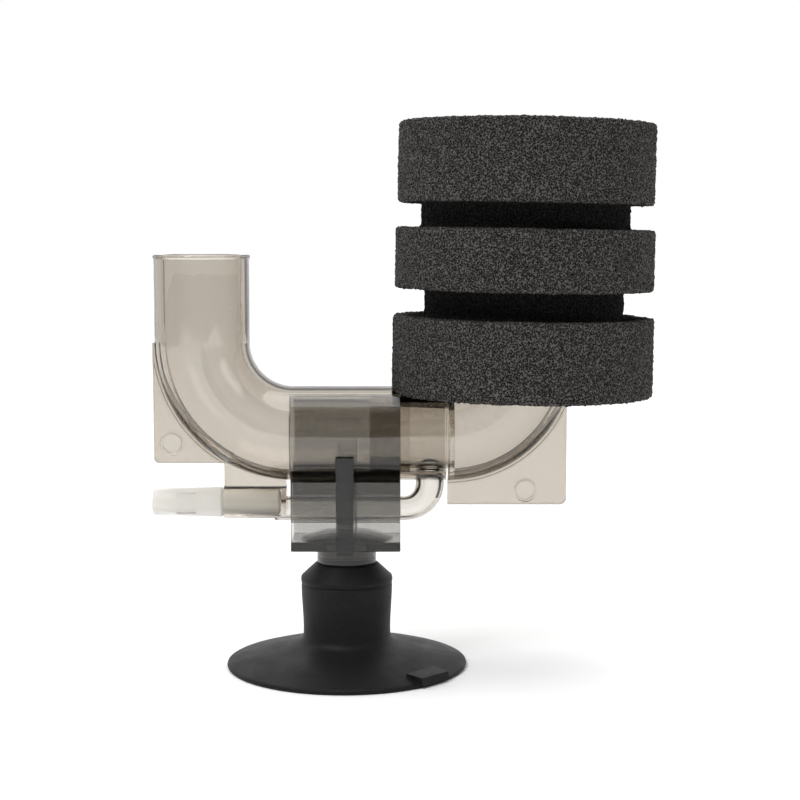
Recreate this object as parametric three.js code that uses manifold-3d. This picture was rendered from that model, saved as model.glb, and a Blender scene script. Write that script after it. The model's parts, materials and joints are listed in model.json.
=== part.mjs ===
// An air-driven internal sponge filter on a suction cup, in millimetres.
// X runs along the duct from the outlet to the sponge, Z is up, and Y = 0 is the plane of the duct,
// where its half shells meet. The origin is under the middle of the object, on the surface it stands on.
import * as THREE from "three";
import { mergeVertices } from "three/addons/utils/BufferGeometryUtils.js";
import Module from "manifold-3d";

const wasm = await Module();
wasm.setup();

// Driving dimensions: the duct
const pipeRadius = 9.5;
const wall = 1.7;
const boreRadius = pipeRadius - wall;
const ductHeight = 47.4;
const pipeSides = 40;
const bendSteps = 10;
const through = 1; // how far a cutting shape runs past the face it cuts

// The outlet duct, from its open top round the bend to the sleeve that holds the inlet elbow
const outletX = -40.4;
const outletTop = 83.2;
const outletBend = 18.3;
const sleeveEnd = 8.4;
const rimBead = { radius: 9.75, height: 0.9 };

// The inlet elbow, from its spigot in the sleeve up to its mouth in the sponge
const inletX = 24.4;
const inletBend = 15.3;
const inletTop = 68;
const turningGap = 0.08;
const spigot = { start: -6.8, landEnd: 1.2, bore: 6.2, reliefRadius: 7.2, shoulderEnd: 10 };

// The corner gussets on the mid-plane, and the peg that locates one half shell on the other
const outletGusset = { left: -50, bottom: 41.5, corner: 1 };
const inletGusset = { left: sleeveEnd + 0.3, right: 32.6, bottom: 33.1, corner: 1.3 };
const peg = { radius: 1.8, length: 0.6, gap: 0.3 };
const outletPeg = { x: -46.6, z: 45.4 };
const inletPeg = { x: inletX, z: 36 };

// The air line under the duct
const airSides = 24;
const airSocket = { start: -36.2, end: -23.6, height: 33.4, radius: 3.4, bore: 2.65, boreEnd: -24.6 };
const airTube = { height: 32.1, radius: 2.45, bore: 1.7, start: -26, bend: 5.1, riseX: 5.2 };
const nozzle = { tip: -50.6, tipRadius: 2.65, footRadius: 3.05, bore: 1.5, spigotRadius: 2.57, gap: 0.3 };
const gripRecess = { start: -45.8, length: 4, width: 1.3, depth: 0.6, turn: THREE.MathUtils.degToRad(35) };

// The clip bracket that holds the duct on the suction cup
const clip = { x: -11.6, width: 21.8, bottom: 24.4, jaw: 1.84, gap: 0.06, lipHeight: 8.3 };
const clipCavity = { outer: 7, inner: 5.6, floor: 1.7, top: 34.85, slot: 2.25 };
const tubeGuides = { near: 2.75, far: 3.95, bottom: 29.8 };
const ductTravel = 3;
const clipFloorDome = { radius: 9, height: 1.6, steps: 4 };
const clipRib = { width: 3.5, reach: 11.4, top: 44 };
const neckRadius = 6;

// The suction cup, and the mushroom plug of the clip that snaps into its stem
const cup = { rim: 24.3, rimThickness: 1, hollow: 2, stem: 9.2, stemTop: 18.3, top: 21 };
const cupFlange = { midRadius: 17, midHeight: 2.9, midHollow: 1.1, rootRadius: 10.2, rootHeight: 4.9 };
const cupWaist = { radius: 8.8, height: 6.2 };
const cupTab = { width: 7.6, depth: 4.2, bottom: 1.2, top: 2.4, centre: 22 };
const cupTabTurn = THREE.MathUtils.degToRad(-44);
const plug = { bottom: 10, shank: 4, head: 5.2, headBottom: 11, headTop: 12.6, shankBottom: 14, gap: 0.3 };

// The sponge, as discs with a groove above each but the last, and the strainer tube inside it
const spongeDiscs = [
  { bottom: 55.5, top: 70.8, radius: 26.2 },
  { bottom: 76.4, top: 88.2, radius: 25.9 },
  { bottom: 93.3, top: 108.9, radius: 25.5 },
];
const spongeGrooves = [19.7, 20.6];
const pressedDuctStart = -5;
const softGap = 0.4;
const strainer = { radius: 7, wall: 1.2, chamfer: 1, top: 102, footBottom: 63, collarTop: 69.2 };
const strainerSlots = { columns: 8, rows: 2, width: 2.2, height: 13, firstBottom: 71.5, pitch: 15 };

/** Turns a closed three.js geometry into a manifold-3d solid with its faces pointing out. */
function solid(geometry) {
  geometry.deleteAttribute("normal");
  geometry.deleteAttribute("uv");
  const merged = mergeVertices(geometry, 1e-4);
  const triangles = Uint32Array.from(merged.index.array);
  const points = merged.attributes.position.array;
  let piece = new wasm.Manifold(
    new wasm.Mesh({ numProp: 3, vertProperties: points, triVerts: triangles }),
  );
  if (piece.volume() < 0) {
    triangles.reverse();
    piece = new wasm.Manifold(
      new wasm.Mesh({ numProp: 3, vertProperties: points, triVerts: triangles }),
    );
  }
  return piece;
}

/** Turns a solid back into a three.js geometry. */
function geometryOf(piece) {
  const { vertProperties, triVerts } = piece.getMesh();
  const geometry = new THREE.BufferGeometry();
  geometry.setAttribute("position", new THREE.BufferAttribute(new Float32Array(vertProperties), 3));
  geometry.setIndex(new THREE.BufferAttribute(new Uint32Array(triVerts), 1));
  geometry.computeVertexNormals();
  return geometry;
}

function union(pieces) {
  return pieces.reduce((sum, piece) => sum.add(piece));
}

/** A box given by its lowest and highest corner. */
function block([x0, y0, z0], [x1, y1, z1]) {
  const box = new THREE.BoxGeometry(x1 - x0, y1 - y0, z1 - z0);
  return solid(box.translate((x0 + x1) / 2, (y0 + y1) / 2, (z0 + z1) / 2));
}

/** A rod along X at one height, tapering from its start radius to its end radius. */
function rodAlongX(x0, x1, height, startRadius, endRadius = startRadius, sides = pipeSides) {
  const rod = new THREE.CylinderGeometry(endRadius, startRadius, x1 - x0, sides);
  return solid(rod.rotateZ(-Math.PI / 2).translate((x0 + x1) / 2, 0, height));
}

/** An upright rod on the mid-plane. */
function rodAlongZ(x, z0, z1, radius, sides = pipeSides) {
  const rod = new THREE.CylinderGeometry(radius, radius, z1 - z0, sides);
  return solid(rod.rotateX(Math.PI / 2).translate(x, 0, (z0 + z1) / 2));
}

/** A rod across the mid-plane. */
function rodAlongY({ x, z }, y0, y1, radius, sides = 20) {
  const rod = new THREE.CylinderGeometry(radius, radius, y1 - y0, sides);
  return solid(rod.translate(x, (y0 + y1) / 2, z));
}

/** A turned solid about the upright axis at x. The outline is [radius, height] pairs. */
function turned(x, outline, sides = pipeSides) {
  const points = outline.map(([radius, height]) => new THREE.Vector2(radius, height));
  return solid(new THREE.LatheGeometry(points, sides).rotateX(Math.PI / 2).translate(x, 0, 0));
}

/** A flat outline of [x, z] points, standing on the mid-plane with half its thickness on each side. */
function plate(shape, halfThickness) {
  const flat = new THREE.ExtrudeGeometry(shape, { depth: 2 * halfThickness, bevelEnabled: false });
  return solid(flat.rotateX(Math.PI / 2).translate(0, halfThickness, 0));
}

/** A path with sections only at its stations, so that a sweep has none to spare on straight stretches. */
class StationPath extends THREE.Curve {
  constructor(stations) {
    super();
    this.stations = stations;
  }

  station(share) {
    return this.stations[Math.round(share * (this.stations.length - 1))];
  }

  getPointAt(share, target = new THREE.Vector3()) {
    return target.copy(this.station(share).point);
  }

  getTangentAt(share, target = new THREE.Vector3()) {
    return target.copy(this.station(share).tangent);
  }
}

/**
 * A path on the mid-plane that comes straight to a quarter bend and leaves it straight.
 * The bend turns about centre, through the angles given, and start and end are the path's ends.
 */
function bentPath(start, centre, radius, fromAngle, toAngle, end, steps) {
  const way = Math.sign(toAngle - fromAngle);
  const arc = Array.from({ length: steps + 1 }, (_, i) => {
    const angle = fromAngle + ((toAngle - fromAngle) * i) / steps;
    return {
      point: new THREE.Vector3(
        centre.x + radius * Math.cos(angle),
        0,
        centre.z + radius * Math.sin(angle),
      ),
      tangent: new THREE.Vector3(-Math.sin(angle) * way, 0, Math.cos(angle) * way),
    };
  });
  const first = { point: new THREE.Vector3(start.x, 0, start.z), tangent: arc[0].tangent };
  const last = { point: new THREE.Vector3(end.x, 0, end.z), tangent: arc[steps].tangent };
  return new StationPath([first, ...arc, last]);
}

/** A round rod swept along a path. */
function sweptRod(path, radius, sides = pipeSides) {
  const section = new THREE.Shape().absarc(0, 0, radius, 0, 2 * Math.PI);
  const settings = {
    steps: path.stations.length - 1,
    curveSegments: sides / 2, // an arc is drawn with twice this many sides
    extrudePath: path,
    bevelEnabled: false,
  };
  return solid(new THREE.ExtrudeGeometry(section, settings));
}

/** The outlet duct's centre line, from its open top to the sleeve's end, longer by extra at both ends. */
function outletPath(extra = 0) {
  const centre = { x: outletX + outletBend, z: ductHeight + outletBend };
  const start = { x: outletX, z: outletTop + extra };
  const end = { x: sleeveEnd + extra, z: ductHeight };
  return bentPath(start, centre, outletBend, Math.PI, 1.5 * Math.PI, end, bendSteps);
}

/** The inlet elbow's centre line, from x up to its mouth, longer by extra there. */
function inletPath(x, extra = 0) {
  const centre = { x: inletX - inletBend, z: ductHeight + inletBend };
  const start = { x, z: ductHeight };
  const end = { x: inletX, z: inletTop + extra };
  return bentPath(start, centre, inletBend, -Math.PI / 2, 0, end, bendSteps);
}

/** The air tube's centre line, from its socket to its rise into the underside of the duct. */
function airPath(startX, topZ) {
  const centre = { x: airTube.riseX - airTube.bend, z: airTube.height + airTube.bend };
  const start = { x: startX, z: airTube.height };
  const end = { x: airTube.riseX, z: topZ };
  return bentPath(start, centre, airTube.bend, -Math.PI / 2, 0, end, 8);
}

/** The outlet duct's corner gusset: the square corner outside its bend. */
function outletGussetPlate() {
  const { left, bottom, corner } = outletGusset;
  const shape = new THREE.Shape();
  shape.moveTo(outletX, ductHeight + outletBend);
  shape.lineTo(left, ductHeight + outletBend);
  shape.lineTo(left, bottom + corner);
  shape.absarc(left + corner, bottom + corner, corner, Math.PI, 1.5 * Math.PI, false);
  shape.lineTo(outletX + outletBend, bottom);
  return plate(shape, wall);
}

/** The inlet elbow's gusset, which hangs below the pipe and has one large round corner. */
function inletGussetPlate() {
  const { left, right, bottom, corner } = inletGusset;
  const shape = new THREE.Shape();
  shape.moveTo(left, ductHeight);
  shape.lineTo(left, bottom);
  shape.lineTo(right - corner, bottom);
  shape.absarc(right - corner, bottom + corner, corner, -Math.PI / 2, 0, false);
  shape.lineTo(right, ductHeight + inletBend / 2);
  shape.lineTo(inletX, ductHeight + inletBend / 2);
  return plate(shape, wall);
}

/** The whole outlet duct with its air line, before it is split into half shells. */
function outletDuct() {
  const { start, end, height, radius, bore, boreEnd } = airSocket;
  const web = block([start, -wall, height], [end, wall, ductHeight]);
  const outside = union([
    sweptRod(outletPath(), pipeRadius),
    rodAlongZ(outletX, outletTop - rimBead.height, outletTop, rimBead.radius),
    outletGussetPlate(),
    web,
    rodAlongX(start, end, height, radius, radius, airSides),
    sweptRod(airPath(airTube.start, ductHeight - boreRadius - wall / 2), airTube.radius, airSides),
  ]);
  const airWay = airPath(boreEnd - through, ductHeight - boreRadius + through);
  return outside
    .subtract(sweptRod(outletPath(through), boreRadius))
    .subtract(rodAlongX(start - through, boreEnd, height, bore, bore, airSides))
    .subtract(sweptRod(airWay, airTube.bore, airSides));
}

/** The whole inlet elbow, before it is split into half shells. */
function inletElbow() {
  const { start, landEnd, bore, reliefRadius, shoulderEnd } = spigot;
  const outside = union([
    sweptRod(inletPath(inletGusset.left), pipeRadius),
    inletGussetPlate(),
    rodAlongX(start, landEnd, ductHeight, boreRadius - turningGap),
    rodAlongX(landEnd - through, shoulderEnd, ductHeight, reliefRadius),
  ]);
  const hollow = union([
    sweptRod(inletPath(shoulderEnd, through), boreRadius),
    rodAlongX(start - through, shoulderEnd + through, ductHeight, bore),
    rodAlongZ(airTube.riseX, ductHeight - pipeRadius, ductHeight, airTube.bore, airSides),
  ]);
  return outside.subtract(hollow);
}

/** The part of a duct on one side of the mid-plane. */
function halfShell(duct, side) {
  const far = 60;
  const [y0, y1] = side === "front" ? [-far, 0] : [0, far];
  return duct.intersect(block([-far, y0, 0], [far, y1, 2 * far]));
}

/** The front half shell, with the blind hole that takes the rear one's peg. */
function frontShell(duct, pegPlace) {
  const hole = rodAlongY(pegPlace, -peg.length - peg.gap, through, peg.radius + peg.gap);
  return halfShell(duct, "front").subtract(hole);
}

/** The rear half shell, with its locating peg. */
function rearShell(duct, pegPlace) {
  return halfShell(duct, "rear").add(rodAlongY(pegPlace, -peg.length, wall / 2, peg.radius));
}

/** The hose nozzle: a tapered barb with grip recesses, pushed into the socket of the air line. */
function airNozzle() {
  const { tip, tipRadius, footRadius, bore, spigotRadius, gap } = nozzle;
  const foot = airSocket.start - gap;
  const end = airSocket.boreEnd - gap;
  const height = airSocket.height;
  const barb = rodAlongX(tip, foot, height, tipRadius, footRadius, airSides);
  const spigotRod = rodAlongX(foot - through, end, height, spigotRadius, spigotRadius, airSides);
  const airWay = rodAlongX(tip - through, end + through, height, bore, bore, airSides);
  return barb.add(spigotRod).subtract(airWay).subtract(union(gripRecesses(height)));
}

/** Four recesses, two on each side of the barb, above and below its axis. */
function gripRecesses(height) {
  const { start, length, width, depth, turn } = gripRecess;
  return [turn, Math.PI - turn, Math.PI + turn, -turn].map((angle) => {
    const recess = new THREE.BoxGeometry(length, 2 * depth, width);
    recess.translate(start + length / 2, nozzle.footRadius, 0);
    return solid(recess.rotateX(angle).translate(0, 0, height));
  });
}

/**
 * The clip bracket: jaws round the duct, and below them a cavity for the air tube, which snaps in
 * through the slot in the ledge between the two. Its plug goes into the suction cup.
 */
function clipBracket() {
  const x0 = clip.x - clip.width / 2;
  const x1 = clip.x + clip.width / 2;
  const [cut0, cut1] = [x0 - through, x1 + through];
  const jawBore = pipeRadius + clip.gap;
  const jawRadius = jawBore + clip.jaw;
  const { outer, inner, floor, top, slot } = clipCavity;
  const lipReach = Math.sqrt(jawRadius ** 2 - clip.lipHeight ** 2);
  const guides = [-1, 1].map((side) => tubeGuide(x0, x1, side));
  const body = union([
    rodAlongX(x0, x1, ductHeight, jawRadius),
    block([x0, -outer, clip.bottom], [x1, outer, ductHeight]),
    clipRibBlock(),
  ]);
  return body
    .subtract(block([cut0, -inner, clip.bottom + floor], [cut1, inner, top]))
    .add(union(guides))
    .subtract(block([cut0, -slot, top - through], [cut1, slot, ductHeight]))
    .subtract(rodAlongX(cut0, cut1, ductHeight, jawBore))
    .subtract(block([cut0, -lipReach, ductHeight + clip.lipHeight], [cut1, lipReach, outletTop]))
    .add(clipDome())
    .add(cupPlug(0));
}

/** The lip that hangs from the ledge beside the air tube. */
function tubeGuide(x0, x1, side) {
  const { near, far, bottom } = tubeGuides;
  const [y0, y1] = side < 0 ? [-far, -near] : [near, far];
  return block([x0, y0, bottom], [x1, y1, clipCavity.top + through]);
}

/** The shallow dome that backs the neck on the floor of the clip's cavity. */
function clipDome() {
  const base = clip.bottom + clipCavity.floor;
  const foot = base - clipCavity.floor / 2;
  const { radius, height, steps } = clipFloorDome;
  const crown = Array.from({ length: steps + 1 }, (_, i) => {
    const share = i / steps;
    return [radius * (1 - share), base + height * Math.sin((Math.PI / 2) * share)];
  });
  const dome = turned(clip.x, [[0, foot], [radius, foot], ...crown]);
  const inside = block([-outletTop, -clipCavity.outer, 0], [outletTop, clipCavity.outer, ductHeight]);
  return dome.intersect(inside);
}

/** The rib down the front and back of the clip, one block through both walls. */
function clipRibBlock() {
  const { width, reach, top } = clipRib;
  const x = clip.x - width / 2;
  return block([x, -reach, clip.bottom], [x + width, reach, top]);
}

/** The neck and mushroom plug under the clip, grown by gap all round for the socket that takes it. */
function cupPlug(gap) {
  const head = plug.head + gap;
  const shank = plug.shank + gap;
  const base = clip.bottom + clipCavity.floor / 2;
  const seat = cup.top + plug.gap;
  const neck = [[shank, seat], [neckRadius, seat], [neckRadius, base], [0, base]];
  const opening = [[shank, cup.top + through], [0, cup.top + through]];
  return turned(clip.x, [
    [0, plug.bottom - gap],
    [head - 1, plug.bottom - gap],
    [head, plug.headBottom],
    [head, plug.headTop],
    [shank, plug.shankBottom],
    ...(gap > 0 ? opening : neck),
  ]);
}

/** The suction cup: a thin flange, hollow below, and a stem that the clip's plug snaps into. */
function suctionCup() {
  const { rim, rimThickness, hollow, stem, stemTop, top } = cup;
  const { midRadius, midHeight, midHollow, rootRadius, rootHeight } = cupFlange;
  const body = turned(clip.x, [
    [0, hollow],
    [midRadius / 2, hollow],
    [midRadius, midHollow],
    [rim - rimThickness, 0],
    [rim, 0],
    [rim, rimThickness],
    [midRadius, midHeight],
    [rootRadius, rootHeight],
    [cupWaist.radius, cupWaist.height],
    [stem, (cupWaist.height + stemTop) / 2],
    [stem, stemTop],
    [neckRadius, top],
    [0, top],
  ]);
  const tab = new THREE.BoxGeometry(cupTab.depth, cupTab.width, cupTab.top - cupTab.bottom);
  tab.translate(cupTab.centre, 0, (cupTab.top + cupTab.bottom) / 2);
  tab.rotateZ(cupTabTurn).translate(clip.x, 0, 0);
  return body.add(solid(tab)).subtract(cupPlug(plug.gap));
}

/** The slotted tube that stands in the elbow's mouth and carries the sponge. */
function strainerTube() {
  const { radius, chamfer, top, footBottom, collarTop } = strainer;
  const inner = radius - strainer.wall;
  const foot = boreRadius - softGap;
  const tube = turned(inletX, [
    [inner, footBottom],
    [foot, footBottom],
    [foot, inletTop + softGap],
    [pipeRadius, inletTop + softGap],
    [pipeRadius, collarTop],
    [radius, collarTop],
    [radius, top - chamfer],
    [radius - chamfer, top],
    [0, top],
    [0, top - strainer.wall],
    [inner, top - strainer.wall],
    [inner, footBottom],
  ], 32);
  return tube.subtract(union(strainerSlotCuts()));
}

function strainerSlotCuts() {
  const { columns, rows, width, height, firstBottom, pitch } = strainerSlots;
  const cuts = [];
  for (let row = 0; row < rows; row += 1) {
    for (let column = 0; column < columns; column += 1) {
      const cut = new THREE.BoxGeometry(3 * strainer.wall, width, height);
      cut.translate(strainer.radius, 0, firstBottom + height / 2 + row * pitch);
      cut.rotateZ((2 * Math.PI * (column + 0.5)) / columns).translate(inletX, 0, 0);
      cuts.push(solid(cut));
    }
  }
  return cuts;
}

/** The sponge: discs with grooves between them, bored for the strainer and hollowed for the duct. */
function sponge() {
  const sides = spongeDiscs.flatMap(({ bottom, top, radius }, i) => {
    const disc = [[radius, bottom], [radius, top]];
    const groove = spongeGrooves[i];
    return groove ? [...disc, [groove, top], [groove, spongeDiscs[i + 1].bottom]] : disc;
  });
  const { bottom } = spongeDiscs[0];
  const { top } = spongeDiscs.at(-1);
  const jawRadius = pipeRadius + clip.gap + clip.jaw;
  const jawEnd = clip.x + clip.width / 2 + ductTravel + softGap;
  return turned(inletX, [[0, bottom], ...sides, [0, top]])
    .subtract(sweptRod(inletPath(pressedDuctStart), pipeRadius + softGap))
    .subtract(rodAlongX(pressedDuctStart, jawEnd, ductHeight, jawRadius + softGap))
    .subtract(rodAlongZ(inletX, bottom - through, strainer.collarTop + softGap, pipeRadius + softGap))
    .subtract(rodAlongZ(inletX, bottom, strainer.top + softGap, strainer.radius + softGap));
}

const plastic = { color: 0x9c9384, roughness: 0.12, metalness: 0 };
const finishes = {
  ductPlastic: plastic,
  clipPlastic: { ...plastic, color: 0x77736a },
  nozzlePlastic: { color: 0xe8e5dc, roughness: 0.4, metalness: 0 },
  strainerPlastic: { color: 0x2b2b2d, roughness: 0.5, metalness: 0 },
  rubber: { color: 0x232328, roughness: 0.75, metalness: 0 },
  foam: { color: 0x474748, roughness: 1, metalness: 0 },
};

/** A named part of the object, in a finish of its own. */
function part(name, piece, finish) {
  const mesh = new THREE.Mesh(geometryOf(piece), new THREE.MeshStandardMaterial(finishes[finish]));
  mesh.name = name;
  return mesh;
}

const outlet = outletDuct();
const inlet = inletElbow();
const filter = new THREE.Group();
filter.add(
  part("suction_cup", suctionCup(), "rubber"),
  part("clip_bracket", clipBracket(), "clipPlastic"),
  part("outlet_shell_front", frontShell(outlet, outletPeg), "ductPlastic"),
  part("outlet_shell_rear", rearShell(outlet, outletPeg), "ductPlastic"),
  part("inlet_shell_front", frontShell(inlet, inletPeg), "ductPlastic"),
  part("inlet_shell_rear", rearShell(inlet, inletPeg), "ductPlastic"),
  part("air_nozzle", airNozzle(), "nozzlePlastic"),
  part("strainer_tube", strainerTube(), "strainerPlastic"),
  part("sponge", sponge(), "foam"),
);

export default filter;
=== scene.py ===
"""The looks of an air-driven internal sponge filter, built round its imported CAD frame.

Lengths in the helpers and settings are millimetres, as on a drawing, and become metres in MM.
X runs along the duct from the outlet to the sponge, Z is up, and Y = 0 is the plane of the duct.
"""

import json
import math
import bmesh
import bpy
import numpy as np
from mathutils import Matrix, Vector, noise


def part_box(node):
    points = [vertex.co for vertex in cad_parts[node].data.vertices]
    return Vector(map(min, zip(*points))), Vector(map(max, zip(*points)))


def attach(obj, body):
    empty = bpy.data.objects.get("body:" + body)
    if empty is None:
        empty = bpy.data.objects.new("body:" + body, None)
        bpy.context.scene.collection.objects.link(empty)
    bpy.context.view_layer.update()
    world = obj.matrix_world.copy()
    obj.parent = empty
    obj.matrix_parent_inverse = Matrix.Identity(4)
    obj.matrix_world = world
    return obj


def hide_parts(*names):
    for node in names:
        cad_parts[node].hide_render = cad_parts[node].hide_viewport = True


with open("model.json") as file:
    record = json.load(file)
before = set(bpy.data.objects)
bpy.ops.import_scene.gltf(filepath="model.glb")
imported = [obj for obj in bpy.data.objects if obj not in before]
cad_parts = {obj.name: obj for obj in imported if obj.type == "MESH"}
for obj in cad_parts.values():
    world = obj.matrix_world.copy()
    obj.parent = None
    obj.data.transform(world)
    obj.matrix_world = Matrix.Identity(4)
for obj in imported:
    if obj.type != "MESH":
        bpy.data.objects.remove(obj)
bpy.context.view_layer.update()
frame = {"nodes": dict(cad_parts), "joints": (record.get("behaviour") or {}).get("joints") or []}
MM = 0.001


def node_box(node):
    """A CAD node's lowest and highest corner, in millimetres."""
    low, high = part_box(node)
    return Vector(low) / MM, Vector(high) / MM


# Sizes that the frame holds
OUTLET_LOW, OUTLET_HIGH = node_box("outlet_shell_rear")
INLET_LOW, INLET_HIGH = node_box("inlet_shell_rear")
CLIP_LOW, CLIP_HIGH = node_box("clip_bracket")
CUP_LOW, CUP_HIGH = node_box("suction_cup")
SPONGE_LOW, SPONGE_HIGH = node_box("sponge")
NOZZLE_LOW, NOZZLE_HIGH = node_box("air_nozzle")
DUCT_HEIGHT = 1000 * next(j for j in frame["joints"] if j["name"] == "elbow_turn")["pos_m"][2]

# The duct
PIPE_RADIUS = 9.5
WALL = 1.7
BORE_RADIUS = PIPE_RADIUS - WALL
SHELL_GAP = 0.03
PIPE_SIDES = 128
BEND_STEPS = 40
OUTLET_X = -40.4
OUTLET_TOP = OUTLET_HIGH.z
OUTLET_BEND = 18.3
SLEEVE_END = OUTLET_HIGH.x
ELBOW_START = SLEEVE_END + 0.3
INLET_X = (SPONGE_LOW.x + SPONGE_HIGH.x) / 2
INLET_BEND = 15.3
INLET_TOP = INLET_HIGH.z
PEG_RADIUS, PEG_LENGTH = 1.8, 0.6
OUTLET_PEG, INLET_PEG = (-46.6, 45.4), (INLET_X, 36)
FILLET = 0.8

# The air line under the duct, with the socket that takes the nozzle
AIR_HEIGHT, AIR_RADIUS, AIR_BORE = 32.1, 2.45, 1.7
AIR_START, AIR_BEND, AIR_RISE_X = -26, 5.1, 5.2
AIR_STEPS, AIR_SIDES = 24, 64
SOCKET_START, SOCKET_END = -36.2, -23.6
SOCKET_HEIGHT, SOCKET_RADIUS = 33.4, 3.4
SOCKET_BORE, SOCKET_BORE_END = 2.65, -24.6

# The sponge: its discs as (bottom, top, radius), the grooves between them and its bore
DISCS = [(SPONGE_LOW.z, 70.8, 25.9), (76.4, 88.2, 25.6), (93.3, SPONGE_HIGH.z, 25.3)]
GROOVES = [19.7, 20.6]
STRAINER_BORE, WIDE_BORE, BORE_STEP = 8.2, 10.4, 69.6
BORE_TOP = SPONGE_HIGH.z - 6.5
SPONGE_LEAN = 0.9
SKIN_STEP, SKIN_SIDES = 0.42, 380

# The clip and the cup
DUCT_TRAVEL = 3
CLIP_X = (CLIP_LOW.x + CLIP_HIGH.x) / 2
JAW_BORE = PIPE_RADIUS + 0.06
JAW_RADIUS = CLIP_HIGH.y
CLIP_BOTTOM = 24.4
CAVITY_OUTER, CAVITY_INNER = 7.0, 5.6
CAVITY_FLOOR = CLIP_BOTTOM + 1.7
LEDGE_BOTTOM = 34.85
SLOT = 2.25
GUIDES = [(-3.95, -2.75), (2.75, 3.95)]
GUIDE_BOTTOM = 29.8
CLIP_RIB_WIDTH, CLIP_RIB_TOP = 3.5, 43.9
CLIP_NECK = 6.0
DOME_FOOT = CAVITY_FLOOR - 0.8
CUP_SIDES = 160


# ---------------------------------------------------------------- mesh helpers

def new_object(name, verts, faces):
    """A mesh object from millimetre points."""
    mesh = bpy.data.meshes.new(name)
    mesh.from_pydata([tuple(v) for v in np.asarray(verts, float) * MM], [], faces)
    mesh.update()
    thing = bpy.data.objects.new(name, mesh)
    bpy.context.scene.collection.objects.link(thing)
    return thing


def face_out(thing):
    """Turns a closed mesh's faces to point out."""
    work = bmesh.new()
    work.from_mesh(thing.data)
    bmesh.ops.recalc_face_normals(work, faces=work.faces)
    if work.calc_volume(signed=True) < 0:
        bmesh.ops.reverse_faces(work, faces=work.faces)
    work.to_mesh(thing.data)
    work.free()
    return thing


def lofted(name, rings):
    """A closed solid through rings of the same number of points, capped at both ends."""
    count = len(rings[0])
    verts = np.concatenate(rings)
    faces = []
    for k in range(len(rings) - 1):
        for i in range(count):
            j = (i + 1) % count
            faces.append((k * count + i, k * count + j, (k + 1) * count + j, (k + 1) * count + i))
    faces.append(tuple(range(count)))
    faces.append(tuple(range((len(rings) - 1) * count, len(rings) * count)))
    return face_out(new_object(name, verts, faces))


def ring(centre, tangent, radius, sides):
    """A round section on the mid-plane path, square to its tangent."""
    angles = np.linspace(0, 2 * math.pi, sides, endpoint=False)
    across = np.array([-tangent[2], 0, tangent[0]])
    up = np.array([0, 1, 0])
    return np.asarray(centre) + radius * (np.outer(np.cos(angles), across) + np.outer(np.sin(angles), up))


def bent_path(start, centre, radius, from_angle, to_angle, end, steps):
    """Points and tangents of a straight, a bend and a straight on the mid-plane, as (x, z) pairs."""
    way = math.copysign(1, to_angle - from_angle)
    bend = []
    for angle in np.linspace(from_angle, to_angle, steps + 1):
        point = (centre[0] + radius * math.cos(angle), 0, centre[1] + radius * math.sin(angle))
        bend.append((point, (-math.sin(angle) * way, 0, math.cos(angle) * way)))
    first = ((start[0], 0, start[1]), bend[0][1])
    last = ((end[0], 0, end[1]), bend[-1][1])
    return [first, *bend, last]


def swept(name, path, radius, sides=PIPE_SIDES):
    """A round rod along a path."""
    return lofted(name, [ring(point, tangent, radius, sides) for point, tangent in path])


def turned(name, outline, sides=PIPE_SIDES, place=Matrix()):
    """A turned solid about Z from (radius, height) pairs that start and end on the axis."""
    angles = np.linspace(0, 2 * math.pi, sides, endpoint=False)
    verts = [(0, 0, outline[0][1])]
    for radius, height in outline[1:-1]:
        verts += [(radius * math.cos(a), radius * math.sin(a), height) for a in angles]
    verts.append((0, 0, outline[-1][1]))
    rows = len(outline) - 2
    faces = []
    for i in range(sides):
        j = (i + 1) % sides
        faces.append((0, 1 + i, 1 + j))
        faces.append((len(verts) - 1, 1 + (rows - 1) * sides + j, 1 + (rows - 1) * sides + i))
        for k in range(rows - 1):
            low = 1 + k * sides
            high = low + sides
            faces.append((low + i, high + i, high + j, low + j))
    points = [place @ Vector(v) for v in verts]
    return face_out(new_object(name, points, faces))


def along_x(x, height):
    """Lays a turned solid along +X, starting at x on the mid-plane."""
    return Matrix.Translation((x, 0, height)) @ Matrix.Rotation(math.pi / 2, 4, "Y")


def rod_x(x0, x1, height, radius, sides=PIPE_SIDES):
    """A round rod along X on the mid-plane."""
    outline = [(0, 0), (radius, 0), (radius, x1 - x0), (0, x1 - x0)]
    return turned("rod", outline, sides, along_x(x0, height))


def rod_y(x, z, y0, y1, radius, sides=48):
    """A round rod along Y, through (x, z)."""
    outline = [(0, 0), (radius, 0), (radius, y1 - y0), (0, y1 - y0)]
    place = Matrix.Translation((x, y0, z)) @ Matrix.Rotation(-math.pi / 2, 4, "X")
    return turned("rod", outline, sides, place)


def prism(name, outline, y0, y1):
    """An (x, z) outline pushed out from y0 to y1."""
    near = np.array([(x, y0, z) for x, z in outline])
    far = np.array([(x, y1, z) for x, z in outline])
    return lofted(name, [near, far])


def block(low, high):
    """A box from its lowest to its highest corner."""
    (x0, y0, z0), (x1, y1, z1) = low, high
    return prism("block", [(x0, z0), (x1, z0), (x1, z1), (x0, z1)], y0, y1)


def arc(centre, radius, from_degrees, to_degrees, steps=12):
    """Points of a round corner in an outline."""
    angles = np.radians(np.linspace(from_degrees, to_degrees, steps + 1))
    return [(centre[0] + radius * math.cos(a), centre[1] + radius * math.sin(a)) for a in angles]


def apply_modifiers(thing):
    """Fixes an object's modifiers into its mesh."""
    graph = bpy.context.evaluated_depsgraph_get()
    mesh = bpy.data.meshes.new_from_object(thing.evaluated_get(graph), depsgraph=graph)
    thing.modifiers.clear()
    thing.data = mesh
    return thing


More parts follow.
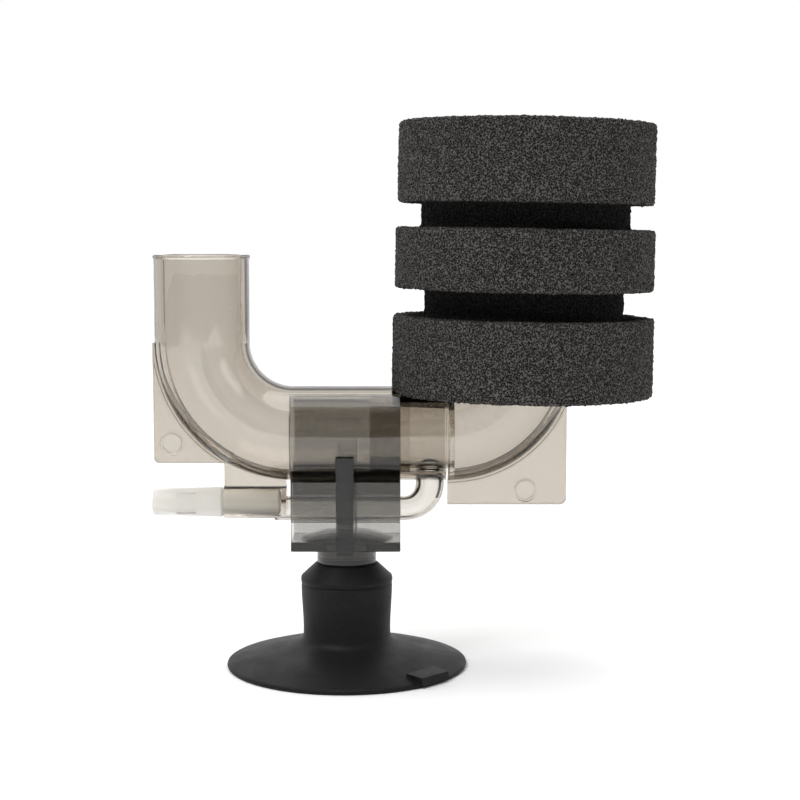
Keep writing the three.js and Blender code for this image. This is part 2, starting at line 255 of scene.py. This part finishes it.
def combine(thing, others, how):
    """Joins to or cuts from a solid the others, which are used up."""
    for other in others:
        step = thing.modifiers.new(how, "BOOLEAN")
        step.operation = how
        step.solver = "MANIFOLD"
        step.object = other
    bpy.context.view_layer.update()
    apply_modifiers(thing)
    for other in others:
        bpy.data.objects.remove(other)
    return thing


def merge_flats(thing):
    """Joins the slivers that the cuts leave on flat faces and closes edges too short to round."""
    work = bmesh.new()
    work.from_mesh(thing.data)
    bmesh.ops.dissolve_limit(work, angle_limit=math.radians(0.3), verts=work.verts, edges=work.edges)
    bmesh.ops.dissolve_degenerate(work, dist=0.05 * MM, edges=work.edges)
    work.to_mesh(thing.data)
    work.free()


def rounded(thing, width, angle=35, clamp=True):
    """Rounds the edges that turn by more than angle degrees and shades the rest smooth.

    With clamp, the shortest edge limits the width of them all, so that no face folds over.
    """
    merge_flats(thing)
    edge = thing.modifiers.new("edge", "BEVEL")
    edge.width = width * MM
    edge.segments = 2
    edge.limit_method = "ANGLE"
    edge.angle_limit = math.radians(angle)
    edge.use_clamp_overlap = clamp
    apply_modifiers(thing)
    return smooth(thing)


def smooth(thing, angle=40):
    """Shades a mesh smooth, with crisp normals on its flat faces."""
    thing.data.shade_smooth()
    bpy.context.view_layer.objects.active = thing
    thing.select_set(True)
    bpy.ops.object.shade_smooth_by_angle(angle=math.radians(angle))
    thing.select_set(False)
    weight = thing.modifiers.new("normals", "WEIGHTED_NORMAL")
    weight.keep_sharp = True
    weight.weight = 100
    apply_modifiers(thing)
    return thing


def finish_piece(thing, name, body, material, nodes):
    """Names a piece, gives it its finish and ties it to the frame."""
    thing.name = name
    thing.data.name = name
    thing.data.materials.clear()
    thing.data.materials.append(material)
    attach(thing, body)
    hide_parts(*nodes)


# ---------------------------------------------------------------- materials

class Shader:
    """A material under construction, whose textures are placed in the object's own coordinates."""

    def __init__(self, name):
        self.material = bpy.data.materials.new(name)
        self.material.use_nodes = True
        self.nodes = self.material.node_tree.nodes
        self.links = self.material.node_tree.links
        self.surface = self.nodes["Principled BSDF"]
        self.output = self.nodes["Material Output"]
        self.place = self.add("ShaderNodeTexCoord").outputs["Object"]

    def add(self, kind, **settings):
        """A new node with its settings."""
        node = self.nodes.new(kind)
        for key, value in settings.items():
            setattr(node, key, value)
        return node

    def feed(self, socket, source):
        """Links a socket to another node's output, or sets it to a constant."""
        if hasattr(source, "is_linked"):
            self.links.new(source, socket)
        else:
            socket.default_value = source

    def noise(self, size, detail=3.0, roughness=0.5):
        """A noise whose cells are about size millimetres across."""
        node = self.add("ShaderNodeTexNoise")
        self.feed(node.inputs["Vector"], self.place)
        node.inputs["Scale"].default_value = 1 / (size * MM)
        node.inputs["Detail"].default_value = detail
        node.inputs["Roughness"].default_value = roughness
        return node.outputs["Fac"]

    def cells(self, size):
        """The distance to the nearest of scattered points about size millimetres apart."""
        node = self.add("ShaderNodeTexVoronoi", feature="F1")
        self.feed(node.inputs["Vector"], self.place)
        node.inputs["Scale"].default_value = 1 / (size * MM)
        return node.outputs["Distance"]

    def remap(self, source, low, high, to_low, to_high):
        """A value moved from the range low to high into the range to_low to to_high."""
        node = self.add("ShaderNodeMapRange")
        self.feed(node.inputs["Value"], source)
        node.inputs["From Min"].default_value = low
        node.inputs["From Max"].default_value = high
        node.inputs["To Min"].default_value = to_low
        node.inputs["To Max"].default_value = to_high
        return node.outputs["Result"]

    def blend(self, share, low, high):
        """A colour between low and high by share."""
        node = self.add("ShaderNodeMix", data_type="RGBA")
        self.feed(node.inputs["Factor"], share)
        self.feed(node.inputs["A"], low)
        self.feed(node.inputs["B"], high)
        return node.outputs["Result"]

    def bump(self, height, depth, strength=1.0):
        """A bump whose full height is depth millimetres."""
        node = self.add("ShaderNodeBump")
        node.inputs["Strength"].default_value = strength
        node.inputs["Distance"].default_value = depth * MM
        self.feed(node.inputs["Height"], height)
        return node.outputs["Normal"]

    def set(self, **values):
        """Sets or links the surface's sockets, named with _ for each space."""
        for name, value in values.items():
            self.feed(self.surface.inputs[name.replace("_", " ")], value)


def rgb(red, green, blue):
    """A linear colour from sRGB values of 0 to 255."""
    def linear(value):
        share = value / 255
        return share / 12.92 if share <= 0.04045 else ((share + 0.055) / 1.055) ** 2.4
    return (linear(red), linear(green), linear(blue), 1.0)


def clear_plastic(name, absorption):
    """Moulded clear plastic that takes off light by its depth, by a rate per millimetre for each colour.

    Lamp light passes straight through it, so the pieces inside and behind it aren't left in the dark.
    """
    shader = Shader(name)
    dust = shader.noise(0.6, detail=4, roughness=0.65)
    film = shader.noise(9, detail=2)
    shader.set(
        Base_Color=shader.blend(film, (1.0, 1.0, 1.0, 1), (0.975, 0.97, 0.96, 1)),
        Roughness=shader.remap(dust, 0.35, 0.75, 0.0, 0.015),
        IOR=1.49,
        Transmission_Weight=1.0,
        Normal=shader.bump(shader.noise(2.4, detail=2), 0.01, 0.4),
    )
    depth = shader.add("ShaderNodeVolumeAbsorption")
    density = 1.25 * max(absorption) / MM
    depth.inputs["Density"].default_value = density
    depth.inputs["Color"].default_value = (*(1 - share / MM / density for share in absorption), 1)
    shader.feed(shader.output.inputs["Volume"], depth.outputs["Volume"])
    lamp_rays = shader.add("ShaderNodeLightPath").outputs["Is Shadow Ray"]
    open_way = shader.add("ShaderNodeBsdfTransparent")
    open_way.inputs["Color"].default_value = (0.97, 0.97, 0.97, 1)
    choice = shader.add("ShaderNodeMixShader")
    shader.feed(choice.inputs[0], lamp_rays)
    shader.feed(choice.inputs[1], shader.surface.outputs[0])
    shader.feed(choice.inputs[2], open_way.outputs[0])
    shader.feed(shader.output.inputs["Surface"], choice.outputs[0])
    return shader.material


def milky_plastic(name):
    """White translucent nylon of the nozzle."""
    shader = Shader(name)
    mottle = shader.noise(1.6, detail=3)
    shader.set(
        Base_Color=shader.blend(mottle, rgb(253, 251, 246), rgb(246, 243, 236)),
        Roughness=shader.remap(mottle, 0.3, 0.7, 0.28, 0.42),
        IOR=1.5,
        Transmission_Weight=0.5,
        Subsurface_Weight=0.35,
        Subsurface_Radius=(0.003, 0.003, 0.0027),
        Normal=shader.bump(shader.noise(0.5), 0.02, 0.4),
    )
    return shader.material


def dark_plastic(name):
    """Matt moulded black plastic of the strainer."""
    shader = Shader(name)
    grain = shader.noise(0.3, detail=3)
    shader.set(
        Base_Color=shader.blend(shader.noise(6), rgb(38, 38, 40), rgb(52, 52, 54)),
        Roughness=shader.remap(grain, 0.3, 0.7, 0.42, 0.6),
        Normal=shader.bump(grain, 0.03, 0.5),
    )
    return shader.material


def rubber(name):
    """Soft black rubber with a dusty bloom and a fine moulded grain."""
    shader = Shader(name)
    bloom = shader.noise(7, detail=5, roughness=0.6)
    grain = shader.noise(0.25, detail=3)
    dust = shader.remap(shader.noise(0.3, detail=4, roughness=0.7), 0.5, 0.75, 0.0, 0.7)
    clean = shader.blend(bloom, rgb(8, 8, 10), rgb(18, 18, 21))
    shader.set(
        Base_Color=shader.blend(dust, clean, rgb(40, 40, 43)),
        Roughness=shader.remap(bloom, 0.3, 0.7, 0.48, 0.64),
        Specular_IOR_Level=0.22,
        Normal=shader.bump(grain, 0.03, 0.5),
    )
    return shader.material


def foam(name):
    """Open-cell foam, uneven from cell to cell: pale struts, pores darkened with painted shade, painted
    highlight specks and painted shade in the grooves and the bore.
    """
    shader = Shader(name)
    pores = shader.cells(0.5)
    # Painted highlights: these fine cells scatter bright specks into the colour, standing in for glints of
    # light on the struts.
    fine = shader.cells(0.32)
    # Painted shade: the pore centres are darkened to near black in the colour, standing in for shade inside
    # the pores; the struts keep the foam's own grey.
    struts = shader.remap(pores, 0.2, 0.6, 0.0, 1.0)
    painted_glint_share = shader.remap(fine, 0.42, 0.75, 0.0, 1.0)
    # Painted shade: a share stored per point darkens the grooves and the bore towards near black.
    painted_shade = shader.add("ShaderNodeAttribute", attribute_name="painted_shade").outputs["Fac"]
    body = shader.blend(struts, rgb(3, 3, 3), rgb(30, 29, 28))
    # Painted highlight specks mixed into the foam's colour.
    painted_glint_colour = shader.blend(painted_glint_share, body, rgb(94, 91, 88))
    shader.set(
        # Painted shade for the grooves and the bore, blended over the colour with its painted highlight
        # specks.
        Base_Color=shader.blend(painted_shade, painted_glint_colour, rgb(6, 6, 6)),
        Roughness=0.9,
        Specular_IOR_Level=0.15,
        Normal=shader.bump(pores, 0.4, 1.0),
    )
    return shader.material


DUCT_PLASTIC = clear_plastic("duct_plastic", (0.205, 0.232, 0.272))
CLIP_PLASTIC = clear_plastic("clip_plastic", (0.345, 0.352, 0.368))
NOZZLE_PLASTIC = milky_plastic("nozzle_plastic")
STRAINER_PLASTIC = dark_plastic("strainer_plastic")
RUBBER = rubber("rubber")
FOAM = foam("foam")


# ---------------------------------------------------------------- the ducts

def outlet_path(extra=0):
    """The outlet duct's middle line, from its rim to its sleeve, longer by extra at both ends."""
    centre = (OUTLET_X + OUTLET_BEND, DUCT_HEIGHT + OUTLET_BEND)
    return bent_path((OUTLET_X, OUTLET_TOP + extra), centre, OUTLET_BEND, math.pi, 1.5 * math.pi,
                     (SLEEVE_END + extra, DUCT_HEIGHT), BEND_STEPS)


def inlet_path(x, extra=0):
    """The elbow's middle line, from x to its mouth, longer by extra at the mouth."""
    centre = (INLET_X - INLET_BEND, DUCT_HEIGHT + INLET_BEND)
    return bent_path((x, DUCT_HEIGHT), centre, INLET_BEND, -math.pi / 2, 0,
                     (INLET_X, INLET_TOP + extra), BEND_STEPS)


def air_tube(name, start, top, radius, flare):
    """The air tube, which widens by flare as it rises into the duct."""
    centre = (AIR_RISE_X - AIR_BEND, AIR_HEIGHT + AIR_BEND)
    path = bent_path((start, AIR_HEIGHT), centre, AIR_BEND, -math.pi / 2, 0, (AIR_RISE_X, top), AIR_STEPS)
    rings = []
    for point, tangent in path:
        rings.append(ring(point, tangent, radius + flare * max(tangent[2], 0) ** 2, AIR_SIDES))
    return lofted(name, rings)


def bead(x, top, height, inside, outside):
    """A rim bead with a round edge, about the upright pipe at x."""
    round_radius = height / 2
    middle = top - round_radius
    edge = [(outside - round_radius + round_radius * math.cos(a), middle + round_radius * math.sin(a))
            for a in np.linspace(-math.pi / 2, math.pi / 2, 9)]
    outline = [(0, top - height), (inside, top - height), *edge, (inside, top), (0, top)]
    return turned("bead", outline, PIPE_SIDES, Matrix.Translation((x, 0, 0)))


def outlet_gusset_outline():
    """The corner plate below the outlet's bend, as (x, z) pairs."""
    left, bottom, corner = OUTLET_LOW.x, 41.5, 1.0
    high = DUCT_HEIGHT + OUTLET_BEND
    return [(OUTLET_X, high), (left, high), *arc((left + corner, bottom + corner), corner, 180, 270),
            (OUTLET_X + OUTLET_BEND, bottom)]


def inlet_gusset_outline():
    """The corner plate below the elbow's bend, as (x, z) pairs."""
    left, right, bottom, corner = ELBOW_START, 32.6, 33.1, 1.3
    high = DUCT_HEIGHT + INLET_BEND / 2
    return [(left, DUCT_HEIGHT), (left, bottom), *arc((right - corner, bottom + corner), corner, 270, 360),
            (right, high), (INLET_X, high)]


def fillet_strip(path, outline):
    """The raised strip where a gusset meets its pipe, as wide as the fillet on each face."""
    strip = swept("strip", path, PIPE_RADIUS + FILLET)
    return combine(strip, [prism("gusset", outline, -WALL - FILLET / 2, WALL + FILLET / 2)], "INTERSECT")


def outlet_duct():
    """The whole outlet duct with its gusset, web and air line, bored through."""
    duct = swept("outlet", outlet_path(), PIPE_RADIUS)
    under = DUCT_HEIGHT - BORE_RADIUS
    bead_height, bead_radius = 0.9, 9.75
    web, inset = WALL - 0.1, 0.1
    combine(duct, [
        bead(OUTLET_X, OUTLET_TOP, bead_height, BORE_RADIUS + 0.1, bead_radius),
        prism("gusset", outlet_gusset_outline(), -WALL, WALL),
        fillet_strip(outlet_path(), outlet_gusset_outline()),
        block((SOCKET_START + inset, -web, SOCKET_HEIGHT), (SOCKET_END - inset, web, DUCT_HEIGHT)),
        rod_x(SOCKET_START, SOCKET_END, SOCKET_HEIGHT, SOCKET_RADIUS),
        air_tube("air", AIR_START, under - WALL / 2, AIR_RADIUS, 0.4),
    ], "UNION")
    return combine(duct, [
        swept("bore", outlet_path(1), BORE_RADIUS),
        rod_x(SOCKET_START - 1, SOCKET_BORE_END, SOCKET_HEIGHT, SOCKET_BORE),
        air_tube("air_bore", SOCKET_BORE_END - 1, under + 1, AIR_BORE, 0.2),
    ], "DIFFERENCE")


def inlet_elbow():
    """The whole inlet elbow with its gusset, and with the spigot that turns in the outlet's sleeve."""
    start, land_end, bore, relief, shoulder_end = INLET_LOW.x, 1.2, 6.2, 7.2, 10.0
    elbow = swept("inlet", inlet_path(ELBOW_START), PIPE_RADIUS)
    combine(elbow, [
        prism("gusset", inlet_gusset_outline(), -WALL, WALL),
        fillet_strip(inlet_path(ELBOW_START), inlet_gusset_outline()),
        rod_x(start, land_end, DUCT_HEIGHT, BORE_RADIUS - 0.08),
        rod_x(land_end - 1, shoulder_end, DUCT_HEIGHT, relief),
    ], "UNION")
    return combine(elbow, [
        swept("bore", inlet_path(shoulder_end, 1), BORE_RADIUS),
        rod_x(start - 1, shoulder_end + 1, DUCT_HEIGHT, bore),
        air_port(),
    ], "DIFFERENCE")


def air_port():
    """The hole in the underside of the spigot, over the air tube's rise."""
    place = Matrix.Translation((AIR_RISE_X, 0, DUCT_HEIGHT - PIPE_RADIUS))
    return turned("port", [(0, 0), (AIR_BORE, 0), (AIR_BORE, PIPE_RADIUS), (0, PIPE_RADIUS)], 48, place)


def peg_ring(x, z):
    """The cutter of the round-bottomed groove that rings the peg on the front face."""
    radius, depth, reach = PEG_RADIUS + 0.3, 0.28, 1.0
    groove = [(radius + depth * math.cos(a), depth * math.sin(a)) for a in np.linspace(0, math.pi, 9)]
    place = Matrix.Translation((x, -WALL, z)) @ Matrix.Rotation(-math.pi / 2, 4, "X")
    return turned("ring", [(0, -reach), (radius + depth, -reach), *groove, (0, -0.02)], 64, place)


def half_shell(duct, side, peg_place):
    """The part of a duct on one side of the mid-plane, with its peg or the peg's hole."""
    far = 80
    gap = SHELL_GAP / 2
    y0, y1 = (-far, -gap) if side == "front" else (gap, far)
    half = duct.copy()
    half.data = duct.data.copy()
    bpy.context.scene.collection.objects.link(half)
    combine(half, [block((-far, y0, 0), (far, y1, 2 * far))], "INTERSECT")
    if side == "front":
        combine(half, [
            rod_y(*peg_place, -PEG_LENGTH - 0.1, WALL, PEG_RADIUS + 0.15),
            peg_ring(*peg_place),
        ], "DIFFERENCE")
    else:
        combine(half, [rod_y(*peg_place, -PEG_LENGTH, WALL / 2, PEG_RADIUS)], "UNION")
    return rounded(half, 0.14)


def build_ducts():
    """The half shells of both ducts."""
    duct = outlet_duct()
    elbow = inlet_elbow()
    for side in ("front", "rear"):
        outlet_half = half_shell(duct, side, OUTLET_PEG)
        finish_piece(outlet_half, f"outlet_half_{side}", "outlet", DUCT_PLASTIC,
                     [f"outlet_shell_{side}"])
        inlet_half = half_shell(elbow, side, INLET_PEG)
        finish_piece(inlet_half, f"inlet_half_{side}", "elbow", DUCT_PLASTIC,
                     [f"inlet_shell_{side}"])
    for whole in (duct, elbow):
        bpy.data.objects.remove(whole)


# ---------------------------------------------------------------- the nozzle

def build_nozzle():
    """The tapered hose nozzle with its spigot and four grip recesses."""
    foot, tip_radius, foot_radius, plug_radius, bore = SOCKET_START - 0.3, 2.65, 3.05, 2.57, 1.5
    length = foot - NOZZLE_LOW.x
    plug_end = NOZZLE_HIGH.x - NOZZLE_LOW.x
    outline = [
        (0, 0), (tip_radius - 0.3, 0), (tip_radius - 0.08, 0.1), (tip_radius, 0.35),
        (foot_radius, length - 0.3), (foot_radius - 0.25, length), (plug_radius, length),
        (plug_radius, plug_end - 0.4), (plug_radius - 0.3, plug_end), (0, plug_end),
    ]
    nozzle = turned("nozzle", outline, 96, along_x(NOZZLE_LOW.x, SOCKET_HEIGHT))
    cuts = [rod_x(NOZZLE_LOW.x - 1, NOZZLE_HIGH.x + 1, SOCKET_HEIGHT, bore, 64)]
    recess_x, half_length, half_width, depth = -43.8, 2, 0.65, 0.6
    place = Matrix.Translation(Vector((recess_x, 0, SOCKET_HEIGHT)) * MM)
    for degrees in (35, 145, 215, 325):
        cut = block((-half_length, foot_radius - depth, -half_width),
                    (half_length, foot_radius + depth, half_width))
        cut.data.transform(place @ Matrix.Rotation(math.radians(degrees), 4, "X"))
        cuts.append(cut)
    combine(nozzle, cuts, "DIFFERENCE")
    finish_piece(rounded(nozzle, 0.08), "hose_nozzle", "nozzle", NOZZLE_PLASTIC,
                 ["air_nozzle"])


# ---------------------------------------------------------------- the clip

def build_clip():
    """The clip: jaws round the duct, the air tube's cavity with its guides, ribs, neck and plug."""
    x0, x1 = CLIP_LOW.x, CLIP_HIGH.x
    cut0, cut1 = x0 - 1, x1 + 1
    lip_height = CLIP_HIGH.z - DUCT_HEIGHT
    lip_reach = math.sqrt(JAW_RADIUS ** 2 - lip_height ** 2)
    rib = CLIP_RIB_WIDTH / 2
    body = rod_x(x0, x1, DUCT_HEIGHT, JAW_RADIUS)
    combine(body, [
        block((x0, -CAVITY_OUTER, CLIP_BOTTOM), (x1, CAVITY_OUTER, DUCT_HEIGHT)),
        block((CLIP_X - rib, -JAW_RADIUS, CLIP_BOTTOM), (CLIP_X + rib, JAW_RADIUS, CLIP_RIB_TOP)),
    ], "UNION")
    combine(body, [
        block((cut0, -CAVITY_INNER, CAVITY_FLOOR), (cut1, CAVITY_INNER, LEDGE_BOTTOM)),
        block((cut0, -SLOT, LEDGE_BOTTOM - 1), (cut1, SLOT, DUCT_HEIGHT)),
        rod_x(cut0, cut1, DUCT_HEIGHT, JAW_BORE),
        block((cut0, -lip_reach, DUCT_HEIGHT + lip_height), (cut1, lip_reach, OUTLET_TOP)),
    ], "DIFFERENCE")
    guides = [block((x0, near, GUIDE_BOTTOM), (x1, far, LEDGE_BOTTOM + 1)) for near, far in GUIDES]
    combine(body, [*guides, clip_plug(), clip_dome()], "UNION")
    body = rounded(body, 0.2, angle=50, clamp=False)
    finish_piece(body, "duct_clip", "clip", CLIP_PLASTIC, ["clip_bracket"])


def clip_plug():
    """The neck and the mushroom plug that snaps into the cup's stem."""
    head, head_low, head_high = 5.2, 11, 12.6
    shank, shank_low = 4.0, 14
    seat = CUP_HIGH.z + 0.3
    outline = [
        (0, CLIP_LOW.z), (head - 1, CLIP_LOW.z), (head, head_low), (head, head_high), (shank, shank_low),
        (shank, seat), (CLIP_NECK, seat), (CLIP_NECK, DOME_FOOT), (0, DOME_FOOT),
    ]
    return turned("plug", outline, PIPE_SIDES, Matrix.Translation((CLIP_X, 0, 0)))


def clip_dome():
    """The shallow dome over the neck, on the cavity's floor, cut off flush inside the clip's walls."""
    radius, height = 9.3, 1.6
    crown = [(radius * math.cos(a), CAVITY_FLOOR + height * math.sin(a) ** 1.5)
             for a in np.linspace(0, math.pi / 2, 13)]
    crown[-1] = (0, crown[-1][1])
    outline = [(0, DOME_FOOT), (radius, DOME_FOOT), *crown]
    dome = turned("dome", outline, PIPE_SIDES, Matrix.Translation((CLIP_X, 0, 0)))
    inside = CAVITY_OUTER - 0.2
    return combine(dome, [block((CLIP_LOW.x, -inside, 0), (CLIP_HIGH.x, inside, DUCT_HEIGHT))], "INTERSECT")


# ---------------------------------------------------------------- the suction cup

def cup_outline(rim, top):
    """The cup's section, from the middle of its hollow round the rim, up the stem and down the socket."""
    hollow = [(0, 2.0), (5, 1.98), (10, 1.8), (14, 1.45), (17, 1.1), (21, 0.42)]
    lip = [(rim - 1, 0.02), (rim - 0.5, 0.0), (rim - 0.12, 0.15)]
    lip += [(rim, 0.5), (rim - 0.1, 0.85), (rim - 0.5, 1.05)]
    flange = [(21, 1.9), (17, 2.9), (13, 3.9), (11.0, 4.5), (10.0, 4.85)]
    flange += [(9.4, 5.2), (9.0, 5.7), (8.82, 6.4)]
    stem = [(8.8, 8), (8.87, 10), (9.0, 12), (9.12, 14), (9.2, 16.2)]
    groove = [(9.18, 16.75), (9.05, 16.9), (9.05, 17.05), (9.2, 17.2)]
    collar = [(9.28, 17.5), (9.28, 18.0), (9.15, 18.4), (6.5, top - 0.15), (6.2, top)]
    socket = [(5.0, top), (4.4, top - 0.3), (4.35, 14.1), (5.5, 12.7), (5.5, 10.9), (4.6, 9.75), (0, 9.7)]
    return [*hollow, *lip, *flange, *stem, *groove, *collar, *socket]


def cup_tab():
    """The pull tab that stands out of the rim, towards the front right."""
    half_width, degrees = 3.8, -44
    outline = [(20.4, 1.3), (22.7, 0.5), (24.6, 0.5), (24.6, 2.2), (20.4, 2.4)]
    tab = prism("tab", outline, -half_width, half_width)
    turn = Matrix.Rotation(math.radians(degrees), 4, "Z")
    tab.data.transform(Matrix.Translation((CLIP_X * MM, 0, 0)) @ turn)
    return tab


def build_cup():
    """The suction cup."""
    rim = (CUP_HIGH.x - CUP_LOW.x) / 2
    cup = turned("cup", cup_outline(rim, CUP_HIGH.z), CUP_SIDES, Matrix.Translation((CLIP_X, 0, 0)))
    combine(cup, [cup_tab()], "UNION")
    finish_piece(rounded(cup, 0.2), "rubber_cup", "cup", RUBBER, ["suction_cup"])


# ---------------------------------------------------------------- the sponge

def sponge_outline():
    """The sponge's skin, from the rim of its bore round to the middle of its top."""
    outline = [(WIDE_BORE, SPONGE_LOW.z)]
    edge = 0.5
    for k, (low, high, radius) in enumerate(DISCS):
        outline += arc((radius - edge, low + edge), edge, -90, 0, 3)
        outline += arc((radius - edge, high - edge), edge, 0, 90, 3)
        if k < len(GROOVES):
            groove, above = GROOVES[k], DISCS[k + 1][0]
            outline += [(groove + edge, high), (groove, high + edge)]
            outline += [(groove, above - edge), (groove + edge, above)]
    return outline + [(0, SPONGE_HIGH.z)]


def fine_steps(outline, step):
    """The outline with points no further than step apart."""
    points = [outline[0]]
    for (r0, z0), (r1, z1) in zip(outline, outline[1:]):
        count = max(1, math.ceil(math.hypot(r1 - r0, z1 - z0) / step))
        points += [(r0 + (r1 - r0) * k / count, z0 + (z1 - z0) * k / count) for k in range(1, count + 1)]
    return points


def pit(point):
    """How far the foam's skin is pushed out at a point, in millimetres: by pores, lumps and strands."""
    pore_size, lump_size, strand_size = 0.7, 5.0, 0.3
    pore_depth, lump_depth, strand_depth = 0.5, 0.09, 0.22
    pore = noise.voronoi(point / pore_size)[0][0]
    lump = noise.noise(point / lump_size)
    strand = noise.noise(point / strand_size)
    return pore_depth * (min(pore, 0.75) - 0.45) + lump_depth * lump + strand_depth * strand


def build_sponge():
    """The foam, bored from below for the strainer, leaning a little towards the outside."""
    bore = [(0, BORE_TOP), (STRAINER_BORE, BORE_TOP), (STRAINER_BORE, BORE_STEP), (WIDE_BORE, BORE_STEP)]
    skin = fine_steps(sponge_outline(), SKIN_STEP)
    sponge = turned("sponge", bore + skin, SKIN_SIDES, Matrix.Translation((INLET_X, 0, 0)))
    # Painted shade for the grooves and the bore, stored per point for the foam's colour.
    mark_painted_shade(sponge)
    roughen(sponge, 1 + (len(bore) - 1) * SKIN_SIDES)
    top = Matrix.Translation(Vector((INLET_X, 0, SPONGE_HIGH.z)) * MM)
    sponge.data.transform(top @ Matrix.Rotation(math.radians(SPONGE_LEAN), 4, "Y") @ top.inverted())
    press_on_duct(sponge)
    sponge.data.shade_smooth()
    finish_piece(sponge, "foam_sponge", "sponge", FOAM, ["sponge"])


def roughen(sponge, first):
    """Pushes the skin's points, from the first on, along their normals into pores and struts."""
    normals = [v.normal.copy() for v in sponge.data.vertices]
    for vertex in list(sponge.data.vertices)[first:]:
        vertex.co = vertex.co + normals[vertex.index] * pit(vertex.co / MM) * MM


def mark_painted_shade(sponge):
    """Stores painted shade for each point: most in the grooves and the bore, not at all on the discs."""
    open_radius, fade, most = 24.6, 3.5, 0.85
    painted_shade = sponge.data.attributes.new("painted_shade", "FLOAT", "POINT")
    for vertex in sponge.data.vertices:
        x, y, z = vertex.co / MM
        reach = math.hypot(x - INLET_X, y)
        inside = SPONGE_LOW.z + 0.5 < z < SPONGE_HIGH.z - 0.5
        share = min(max((open_radius - reach) / fade, 0), most)
        painted_shade.data[vertex.index].value = share if inside else 0.0


def press_on_duct(sponge):
    """Lifts the underside where the foam is pressed against the duct, the elbow and the clip's lips."""
    reach = PIPE_RADIUS + 0.25
    highest = DUCT_HEIGHT + 14
    for vertex in sponge.data.vertices:
        x, y, z = vertex.co / MM
        if x > INLET_X or z > highest:
            continue
        least = 0
        if abs(y) < reach:
            least = DUCT_HEIGHT + math.sqrt(reach ** 2 - y ** 2)
        if x < CLIP_HIGH.x + DUCT_TRAVEL + 0.3 and abs(y) < JAW_RADIUS:
            least = max(least, CLIP_HIGH.z + 0.2)
        if z < least:
            vertex.co.z = least * MM


def finish_strainer():
    """Gives the strainer, whose CAD mesh is kept, its finish."""
    strainer = frame["nodes"]["strainer_tube"]
    strainer.data.materials.clear()
    strainer.data.materials.append(STRAINER_PLASTIC)


# ---------------------------------------------------------------- stage, light and camera

def build_floor():
    """A pale floor, in metres, whose sides are out of sight from the front."""
    half_width, front, back = 0.85, -1.0, 3.0
    near = [(-half_width, front, 0), (half_width, front, 0)]
    far = [(half_width, back, 0), (-half_width, back, 0)]
    mesh = bpy.data.meshes.new("floor")
    mesh.from_pydata(near + far, [], [(0, 1, 2, 3)])
    floor = bpy.data.objects.new("floor", mesh)
    bpy.context.scene.collection.objects.link(floor)
    shader = Shader("floor")
    pale = shader.blend(shader.noise(40), (0.95, 0.95, 0.95, 1), (0.93, 0.93, 0.93, 1))
    shader.set(Base_Color=pale, Roughness=0.9)
    mesh.materials.append(shader.material)


def build_world():
    """A pale studio: white behind the object and overhead, greyer towards the sides and the front."""
    world = bpy.data.worlds.new("studio")
    world.use_nodes = True
    bpy.context.scene.world = world
    nodes = world.node_tree.nodes
    links = world.node_tree.links
    way = nodes.new("ShaderNodeTexCoord")
    split = nodes.new("ShaderNodeSeparateXYZ")
    links.new(way.outputs["Generated"], split.inputs[0])
    depth = nodes.new("ShaderNodeMapRange")
    links.new(split.outputs["Y"], depth.inputs["Value"])
    depth.inputs["From Min"].default_value = -0.45
    depth.inputs["From Max"].default_value = 0.7
    depth.inputs["To Min"].default_value = 0.12
    depth.inputs["To Max"].default_value = 1.2
    seen = nodes.new("ShaderNodeLightPath")
    choose = nodes.new("ShaderNodeMix")
    links.new(seen.outputs["Is Camera Ray"], choose.inputs["Factor"])
    links.new(depth.outputs["Result"], choose.inputs["A"])
    choose.inputs["B"].default_value = 1.0
    links.new(choose.outputs["Result"], nodes["Background"].inputs["Strength"])
    nodes["Background"].inputs["Color"].default_value = (1, 1, 1, 1)


def softbox(name, place, target, size, power):
    """A rectangular lamp, in metres and watts, turned to its target."""
    data = bpy.data.lights.new(name, "AREA")
    data.shape = "RECTANGLE"
    data.size, data.size_y = size
    data.energy = power
    lamp = bpy.data.objects.new(name, data)
    lamp.location = place
    lamp.rotation_euler = (Vector(target) - Vector(place)).to_track_quat("-Z", "Y").to_euler()
    bpy.context.scene.collection.objects.link(lamp)


def build_lights():
    """A key lamp from the left, a weak fill from the right and soft light from overhead."""
    middle = (0, 0, 0.06)
    softbox("key", (-0.45, -0.5, 0.7), middle, (0.3, 0.3), 3.5)
    softbox("fill", (0.55, -0.5, 0.35), middle, (0.3, 0.4), 0.8)
    overhead = bpy.data.lights.new("overhead", "SUN")
    overhead.energy = 1.8
    overhead.angle = math.radians(60)
    lamp = bpy.data.objects.new("overhead", overhead)
    bpy.context.scene.collection.objects.link(lamp)


def build_camera():
    """A camera in front of the duct, in metres, that looks slightly down."""
    down_degrees = 5.7
    data = bpy.data.cameras.new("camera")
    data.sensor_width = 36
    data.lens = 76.5
    camera = bpy.data.objects.new("camera", data)
    camera.location = (-0.0008, -0.34, 0.088)
    camera.rotation_euler = (math.radians(90 - down_degrees), 0, 0)
    bpy.context.scene.collection.objects.link(camera)
    bpy.context.scene.camera = camera


def set_up_render():
    """Plain colours, and enough bounces for light to pass through every wall of the clear pieces."""
    scene = bpy.context.scene
    scene.view_settings.view_transform = "Standard"
    scene.cycles.max_bounces = 32
    scene.cycles.transmission_bounces = 32
    scene.cycles.transparent_max_bounces = 32


build_camera()
build_floor()
build_world()
build_lights()
set_up_render()
build_ducts()
build_nozzle()
build_clip()
build_cup()
build_sponge()
finish_strainer()
